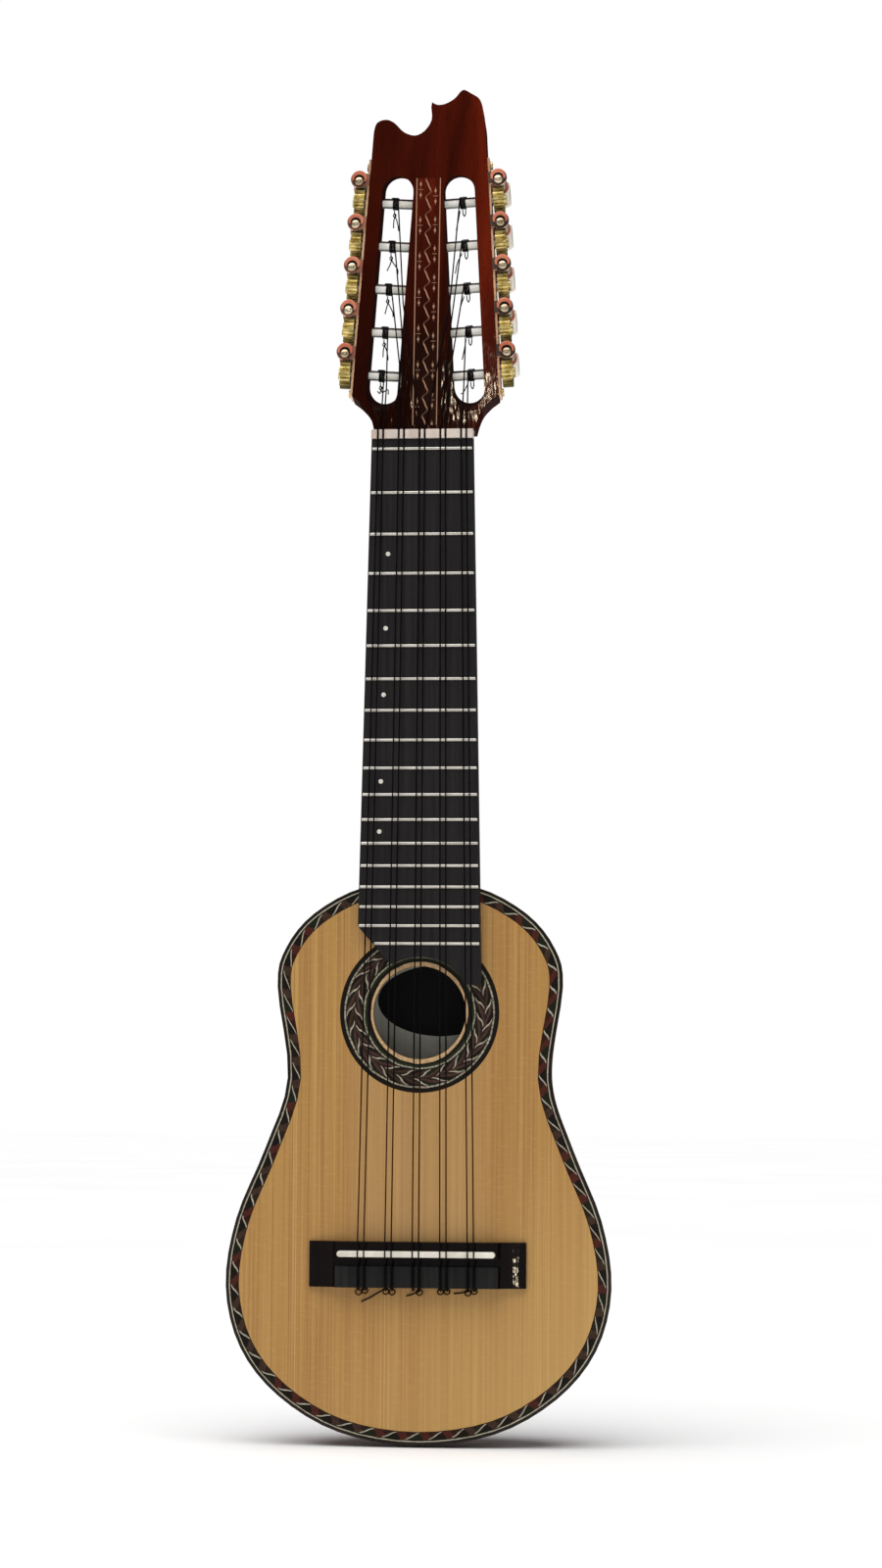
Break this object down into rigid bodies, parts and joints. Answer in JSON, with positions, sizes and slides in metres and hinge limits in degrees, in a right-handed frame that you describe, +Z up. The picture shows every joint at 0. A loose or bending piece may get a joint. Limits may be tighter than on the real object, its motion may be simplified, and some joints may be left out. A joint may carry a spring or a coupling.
{
  "type": "charango",
  "caption": "Small lute with a carved bowl body, double courses of strings, a fretted neck and a slotted head whose rollers are turned by worm-geared tuning buttons.",
  "frame": {"origin": "on the centre line at the zero fret, half way through the neck and fretboard, where a hanger's fork holds the instrument under its head", "axes": "+Z up along the neck towards the head, +X to the right seen from the front, and the soundboard faces -Y"},
  "size_m": [0.178, 0.0803, 0.6376],
  "materials": {
    "bowl_wood": "gloss lacquer",
    "cedar": "satin lacquer",
    "inlay": "satin lacquer",
    "binding": "gloss lacquer",
    "red_wood": "gloss lacquer",
    "ebony": "polished",
    "nickel": "polished",
    "bone": "polished",
    "string": "smooth",
    "gilt": "polished",
    "steel": "polished",
    "pearl": "pearly",
    "roller": "smooth"
  },
  "bodies": {
    "instrument": {"body_bowl": "bowl_wood", "soundboard": "cedar", "soundboard_braces": "cedar", "rosette": "inlay", "edge_binding": "binding", "edge_purfling": "inlay", "neck": "red_wood", "fretboard": "ebony", "frets": "nickel", "position_dots": "bone", "nut": "bone", "headstock": "red_wood", "head_inlay": "inlay", "bridge": "ebony", "saddle": "bone", "strings": "string", "tuner_plate_left": "gilt", "tuner_plate_right": "gilt", "plate_screws": "gilt"},
    "left_worm_1": {"worm_left_1": "steel", "button_left_1": "pearl"},
    "left_roller_1": {"roller_left_1": "roller", "gear_left_1": "gilt"},
    "left_worm_2": {"worm_left_2": "steel", "button_left_2": "pearl"},
    "left_roller_2": {"roller_left_2": "roller", "gear_left_2": "gilt"},
    "left_worm_3": {"worm_left_3": "steel", "button_left_3": "pearl"},
    "left_roller_3": {"roller_left_3": "roller", "gear_left_3": "gilt"},
    "left_worm_4": {"worm_left_4": "steel", "button_left_4": "pearl"},
    "left_roller_4": {"roller_left_4": "roller", "gear_left_4": "gilt"},
    "left_worm_5": {"worm_left_5": "steel", "button_left_5": "pearl"},
    "left_roller_5": {"roller_left_5": "roller", "gear_left_5": "gilt"},
    "right_worm_1": {"worm_right_1": "steel", "button_right_1": "pearl"},
    "right_roller_1": {"roller_right_1": "roller", "gear_right_1": "gilt"},
    "right_worm_2": {"worm_right_2": "steel", "button_right_2": "pearl"},
    "right_roller_2": {"roller_right_2": "roller", "gear_right_2": "gilt"},
    "right_worm_3": {"worm_right_3": "steel", "button_right_3": "pearl"},
    "right_roller_3": {"roller_right_3": "roller", "gear_right_3": "gilt"},
    "right_worm_4": {"worm_right_4": "steel", "button_right_4": "pearl"},
    "right_roller_4": {"roller_right_4": "roller", "gear_right_4": "gilt"},
    "right_worm_5": {"worm_right_5": "steel", "button_right_5": "pearl"},
    "right_roller_5": {"roller_right_5": "roller", "gear_right_5": "gilt"}
  },
  "joints": [
    {"name": "left_worm_turn_1", "type": "hinge", "parent": "instrument", "child": "left_worm_1", "pos_m": [-0.03731, 0.00247, 0.04701], "axis": [0, 0.9945, -0.1045], "continuous": true},
    {"name": "left_roller_turn_1", "type": "hinge", "parent": "instrument", "child": "left_roller_1", "pos_m": [-0.03296, 0.00149, 0.03769], "axis": [0.9982, -0.0062, -0.059], "continuous": true},
    {"name": "left_worm_turn_2", "type": "hinge", "parent": "instrument", "child": "left_worm_2", "pos_m": [-0.03604, 0.0047, 0.06826], "axis": [0, 0.9945, -0.1045], "continuous": true},
    {"name": "left_roller_turn_2", "type": "hinge", "parent": "instrument", "child": "left_roller_2", "pos_m": [-0.03169, 0.00372, 0.05894], "axis": [0.9982, -0.0062, -0.059], "continuous": true},
    {"name": "left_worm_turn_3", "type": "hinge", "parent": "instrument", "child": "left_worm_3", "pos_m": [-0.03478, 0.00693, 0.0895], "axis": [0, 0.9945, -0.1045], "continuous": true},
    {"name": "left_roller_turn_3", "type": "hinge", "parent": "instrument", "child": "left_roller_3", "pos_m": [-0.03042, 0.00595, 0.08018], "axis": [0.9982, -0.0062, -0.059], "continuous": true},
    {"name": "left_worm_turn_4", "type": "hinge", "parent": "instrument", "child": "left_worm_4", "pos_m": [-0.03351, 0.00917, 0.11075], "axis": [0, 0.9945, -0.1045], "continuous": true},
    {"name": "left_roller_turn_4", "type": "hinge", "parent": "instrument", "child": "left_roller_4", "pos_m": [-0.02915, 0.00819, 0.10143], "axis": [0.9982, -0.0062, -0.059], "continuous": true},
    {"name": "left_worm_turn_5", "type": "hinge", "parent": "instrument", "child": "left_worm_5", "pos_m": [-0.03224, 0.0114, 0.13199], "axis": [0, 0.9945, -0.1045], "continuous": true},
    {"name": "left_roller_turn_5", "type": "hinge", "parent": "instrument", "child": "left_roller_5", "pos_m": [-0.02789, 0.01042, 0.12267], "axis": [0.9982, -0.0062, -0.059], "continuous": true},
    {"name": "right_worm_turn_1", "type": "hinge", "parent": "instrument", "child": "right_worm_1", "pos_m": [0.03891, 0.00247, 0.04701], "axis": [0, 0.9945, -0.1045], "continuous": true},
    {"name": "right_roller_turn_1", "type": "hinge", "parent": "instrument", "child": "right_roller_1", "pos_m": [0.03456, 0.00149, 0.03769], "axis": [0.9982, 0.0062, 0.059], "continuous": true},
    {"name": "right_worm_turn_2", "type": "hinge", "parent": "instrument", "child": "right_worm_2", "pos_m": [0.03764, 0.0047, 0.06826], "axis": [0, 0.9945, -0.1045], "continuous": true},
    {"name": "right_roller_turn_2", "type": "hinge", "parent": "instrument", "child": "right_roller_2", "pos_m": [0.03329, 0.00372, 0.05894], "axis": [0.9982, 0.0062, 0.059], "continuous": true},
    {"name": "right_worm_turn_3", "type": "hinge", "parent": "instrument", "child": "right_worm_3", "pos_m": [0.03637, 0.00693, 0.0895], "axis": [0, 0.9945, -0.1045], "continuous": true},
    {"name": "right_roller_turn_3", "type": "hinge", "parent": "instrument", "child": "right_roller_3", "pos_m": [0.03202, 0.00595, 0.08018], "axis": [0.9982, 0.0062, 0.059], "continuous": true},
    {"name": "right_worm_turn_4", "type": "hinge", "parent": "instrument", "child": "right_worm_4", "pos_m": [0.03511, 0.00917, 0.11075], "axis": [0, 0.9945, -0.1045], "continuous": true},
    {"name": "right_roller_turn_4", "type": "hinge", "parent": "instrument", "child": "right_roller_4", "pos_m": [0.03075, 0.00819, 0.10143], "axis": [0.9982, 0.0062, 0.059], "continuous": true},
    {"name": "right_worm_turn_5", "type": "hinge", "parent": "instrument", "child": "right_worm_5", "pos_m": [0.03384, 0.0114, 0.13199], "axis": [0, 0.9945, -0.1045], "continuous": true},
    {"name": "right_roller_turn_5", "type": "hinge", "parent": "instrument", "child": "right_roller_5", "pos_m": [0.02949, 0.01042, 0.12267], "axis": [0.9982, 0.0062, 0.059], "continuous": true}
  ],
  "couplings": [
    {"joint": "left_roller_turn_1", "follows": "left_worm_turn_1", "ratio": 0.071429},
    {"joint": "left_roller_turn_2", "follows": "left_worm_turn_2", "ratio": 0.071429},
    {"joint": "left_roller_turn_3", "follows": "left_worm_turn_3", "ratio": 0.071429},
    {"joint": "left_roller_turn_4", "follows": "left_worm_turn_4", "ratio": 0.071429},
    {"joint": "left_roller_turn_5", "follows": "left_worm_turn_5", "ratio": 0.071429},
    {"joint": "right_roller_turn_1", "follows": "right_worm_turn_1", "ratio": 0.071429},
    {"joint": "right_roller_turn_2", "follows": "right_worm_turn_2", "ratio": 0.071429},
    {"joint": "right_roller_turn_3", "follows": "right_worm_turn_3", "ratio": 0.071429},
    {"joint": "right_roller_turn_4", "follows": "right_worm_turn_4", "ratio": 0.071429},
    {"joint": "right_roller_turn_5", "follows": "right_worm_turn_5", "ratio": 0.071429}
  ]
}
